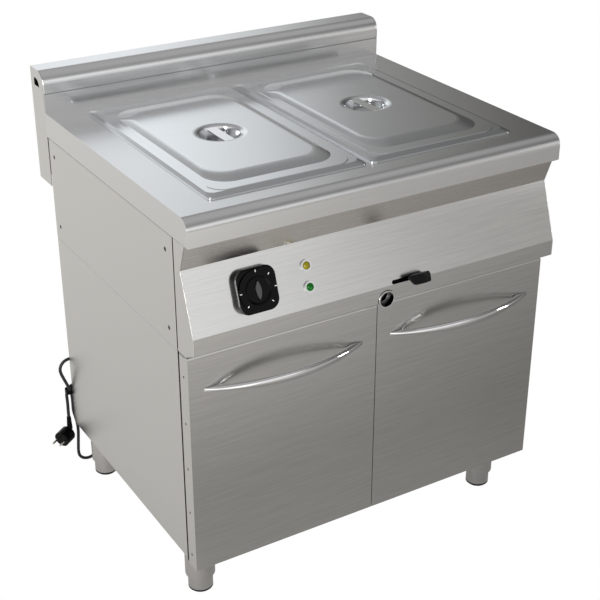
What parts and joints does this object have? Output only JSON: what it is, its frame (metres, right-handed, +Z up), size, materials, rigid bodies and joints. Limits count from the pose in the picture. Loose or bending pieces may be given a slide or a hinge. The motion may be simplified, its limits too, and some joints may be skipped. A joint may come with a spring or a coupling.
{
  "type": "bain marie",
  "caption": "Free-standing electric bain-marie with lidded pans in a heated water well, a drain at the front and a cupboard with hinged doors below.",
  "frame": {"origin": "on the floor, under the middle of the whole unit without its power cord", "axes": "+X to the right of someone facing the doors, +Y to the back, +Z up"},
  "size_m": [0.8563, 0.724, 0.932],
  "materials": {
    "brushed_steel": "brushed, lines along the width on the front",
    "pan_steel": "bright satin",
    "polished_steel": "polished",
    "black_plastic": "fine satin",
    "bush_plastic": "smooth",
    "lamp_collar": "polished",
    "yellow_lens": "clear glossy",
    "green_lens": "clear glossy",
    "black_rubber": "matt",
    "drain_brass": "machined",
    "drain_pipe_steel": "plain",
    "heater_steel": "oxidised",
    "cord_rubber": "satin",
    "tie_plastic": "smooth"
  },
  "bodies": {
    "root": {"base_back": "brushed_steel", "base_floor": "brushed_steel", "base_side_left": "brushed_steel", "base_side_right": "brushed_steel", "base_top_rail": "brushed_steel", "cable_gland": "cord_rubber", "connection_box": "black_plastic", "cord_tie": "tie_plastic", "door_catches": "bush_plastic", "drain_pipe": "drain_pipe_steel", "fascia": "brushed_steel", "fascia_end_caps": "brushed_steel", "gate_body": "drain_brass", "heating_elements": "heater_steel", "hinge_brackets": "brushed_steel", "knob_bezel": "black_plastic", "leg_sleeves": "brushed_steel", "outlet": "polished_steel", "pan_support_bar": "brushed_steel", "pilot_holders": "lamp_collar", "pilot_lens_green": "green_lens", "pilot_lens_yellow": "yellow_lens", "plug": "cord_rubber", "power_cord": "cord_rubber", "side_screws": "polished_steel", "splash_cap": "brushed_steel", "splash_end_caps": "brushed_steel", "thermostat_body": "black_plastic", "under_tray": "brushed_steel", "upper_back": "brushed_steel", "upper_side_left": "brushed_steel", "upper_side_right": "brushed_steel", "well_tank": "brushed_steel", "worktop": "brushed_steel"},
    "left_door": {"left_door_skin": "brushed_steel", "left_door_liner": "brushed_steel", "left_door_bushes": "bush_plastic", "left_door_handle": "polished_steel"},
    "left_pan": {"left_pan": "pan_steel"},
    "left_lid": {"left_lid": "pan_steel", "left_lid_handle": "polished_steel"},
    "right_door": {"right_door_skin": "brushed_steel", "right_door_liner": "brushed_steel", "right_door_bushes": "bush_plastic", "right_door_handle": "polished_steel"},
    "right_pan": {"right_pan": "pan_steel"},
    "right_lid": {"right_lid": "pan_steel", "right_lid_handle": "polished_steel"},
    "thermostat_knob": {"knob": "black_plastic", "thermostat_shaft": "heater_steel"},
    "drain_gate": {"gate_blade": "drain_brass", "drain_lever": "black_plastic"},
    "foot_front_left": {"foot_front_left": "polished_steel", "foot_pad_front_left": "black_rubber"},
    "foot_front_right": {"foot_front_right": "polished_steel", "foot_pad_front_right": "black_rubber"},
    "foot_back_left": {"foot_back_left": "polished_steel", "foot_pad_back_left": "black_rubber"},
    "foot_back_right": {"foot_back_right": "polished_steel", "foot_pad_back_right": "black_rubber"}
  },
  "joints": [
    {"name": "left_door_hinge", "type": "hinge", "parent": "root", "child": "left_door", "pos_m": [-0.3912, -0.287, 0.3464], "axis": [0, 0, -1], "range_deg": [0, 105]},
    {"name": "right_door_hinge", "type": "hinge", "parent": "root", "child": "right_door", "pos_m": [0.3912, -0.287, 0.3464], "axis": [0, 0, 1], "range_deg": [0, 105]},
    {"name": "thermostat_turn", "type": "hinge", "parent": "root", "child": "thermostat_knob", "pos_m": [-0.269, -0.3187, 0.687], "axis": [0, 0.9445, -0.3285], "range_deg": [0, 270]},
    {"name": "drain_slide", "type": "slide", "parent": "root", "child": "drain_gate", "axis": [-1, 0, 0], "range_m": [0, 0.042]},
    {"name": "left_pan_lift", "type": "slide", "parent": "root", "child": "left_pan", "axis": [0, 0, 1], "range_m": [0, 0.18]},
    {"name": "left_lid_lift", "type": "slide", "parent": "left_pan", "child": "left_lid", "axis": [0, 0, 1], "range_m": [0, 0.12]},
    {"name": "right_pan_lift", "type": "slide", "parent": "root", "child": "right_pan", "axis": [0, 0, 1], "range_m": [0, 0.18]},
    {"name": "right_lid_lift", "type": "slide", "parent": "right_pan", "child": "right_lid", "axis": [0, 0, 1], "range_m": [0, 0.12]},
    {"name": "foot_front_left_adjust", "type": "slide", "parent": "root", "child": "foot_front_left", "axis": [0, 0, -1], "range_m": [0, 0.03]},
    {"name": "foot_front_right_adjust", "type": "slide", "parent": "root", "child": "foot_front_right", "axis": [0, 0, -1], "range_m": [0, 0.03]},
    {"name": "foot_back_left_adjust", "type": "slide", "parent": "root", "child": "foot_back_left", "axis": [0, 0, -1], "range_m": [0, 0.03]},
    {"name": "foot_back_right_adjust", "type": "slide", "parent": "root", "child": "foot_back_right", "axis": [0, 0, -1], "range_m": [0, 0.03]}
  ]
}
